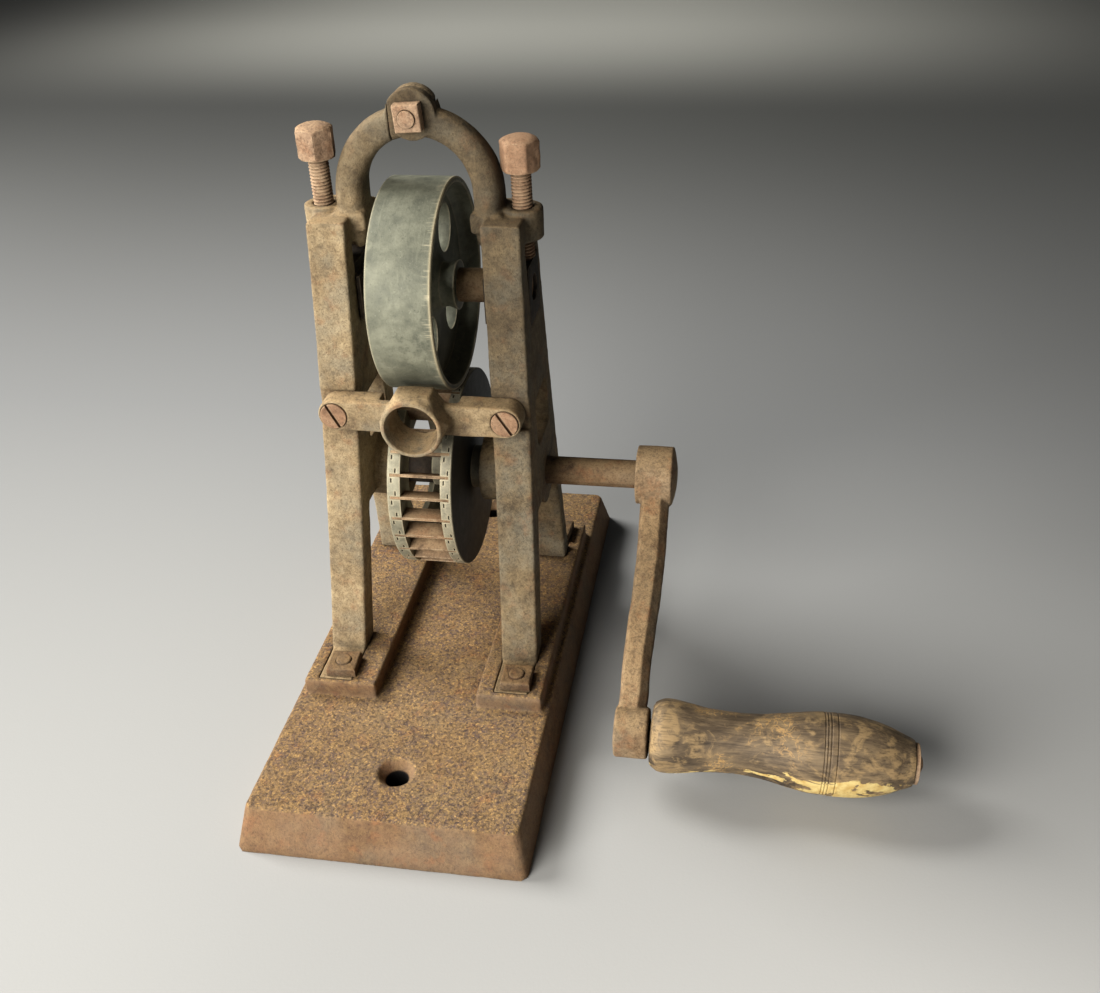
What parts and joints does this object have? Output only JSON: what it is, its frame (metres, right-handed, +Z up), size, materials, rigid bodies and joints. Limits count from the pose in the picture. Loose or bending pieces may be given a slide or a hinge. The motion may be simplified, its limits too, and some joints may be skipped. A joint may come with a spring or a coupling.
{
  "type": "hand-cranked feed-and-cut machine",
  "caption": "Hand-cranked benchtop machine: iron base, two A-shaped frames with an arch, smooth wheel over a bladed wheel, feed funnel, wooden-gripped crank.",
  "frame": {"origin": "on the underside of the base, below both wheel axes, half way between the side frames", "axes": "+X towards the crank, parallel to both shafts; +Y to the back, away from the funnel's mouth; +Z up"},
  "size_m": [0.3091, 0.293, 0.3017],
  "materials": {
    "base_iron": "rough cast, dark rust patina with ochre specks",
    "frame_iron": "rough cast, tan-brown rust patina",
    "old_steel": "rusted and rubbed",
    "screw_steel": "worn slotted heads",
    "block_iron": "dark oily iron",
    "wheel_iron": "machined face with grey-green patina",
    "shaft_steel": "turned, browned",
    "rim_iron": "machined, pale patina",
    "blade_steel": "browned blades with bright edges",
    "grip_wood": "dark turned hardwood, rubbed"
  },
  "bodies": {
    "machine_frame": {"base_plate": "base_iron", "left_side_frame": "frame_iron", "right_side_frame": "frame_iron", "crown_bolt": "old_steel", "crown_nut": "old_steel", "foot_bolts": "old_steel", "foot_nuts": "old_steel", "feed_crossbar": "frame_iron", "crossbar_screws": "screw_steel"},
    "crank": {"crank_shaft": "shaft_steel", "blade_wheel_left_rim": "rim_iron", "blade_wheel_disc": "rim_iron", "blade_wheel_blades": "blade_steel", "blade_wheel_pin": "shaft_steel", "blade_wheel_spacer": "block_iron", "crank_arm": "frame_iron", "crank_pin": "shaft_steel", "grip_spindle": "old_steel", "grip_washer": "old_steel"},
    "grip": {"wooden_grip": "grip_wood"},
    "carriage": {"left_bearing_block": "block_iron", "right_bearing_block": "block_iron"},
    "upper_roll": {"upper_wheel": "wheel_iron", "upper_shaft": "shaft_steel", "upper_wheel_pin": "shaft_steel", "upper_spacers": "block_iron"},
    "left_screw": {"left_set_screw": "old_steel"},
    "right_screw": {"right_set_screw": "old_steel"}
  },
  "joints": [
    {"name": "crank_spin", "type": "hinge", "parent": "machine_frame", "child": "crank", "pos_m": [0, 0, 0.1076], "axis": [1, 0, 0], "continuous": true},
    {"name": "grip_spin", "type": "hinge", "parent": "crank", "child": "grip", "pos_m": [0.117, -0.10764, 0.03293], "axis": [0.9994, 0, -0.0349], "continuous": true},
    {"name": "carriage_slide", "type": "slide", "parent": "machine_frame", "child": "carriage", "axis": [0, 0, 1], "range_m": [0, 0.008]},
    {"name": "upper_roll_spin", "type": "hinge", "parent": "carriage", "child": "upper_roll", "pos_m": [0, 0, 0.2087], "axis": [1, 0, 0], "continuous": true},
    {"name": "left_screw_turn", "type": "hinge", "parent": "carriage", "child": "left_screw", "pos_m": [-0.0471, 0, 0.26], "axis": [0, 0, 1], "range_deg": [0, 1816]},
    {"name": "right_screw_turn", "type": "hinge", "parent": "carriage", "child": "right_screw", "pos_m": [0.0471, 0, 0.26], "axis": [0, 0, 1], "range_deg": [0, 1816]}
  ],
  "couplings": [
    {"joint": "upper_roll_spin", "follows": "crank_spin", "ratio": -1.016},
    {"joint": "left_screw_turn", "follows": "carriage_slide", "rad_per_m": 3957.9},
    {"joint": "right_screw_turn", "follows": "carriage_slide", "rad_per_m": 3957.9}
  ]
}
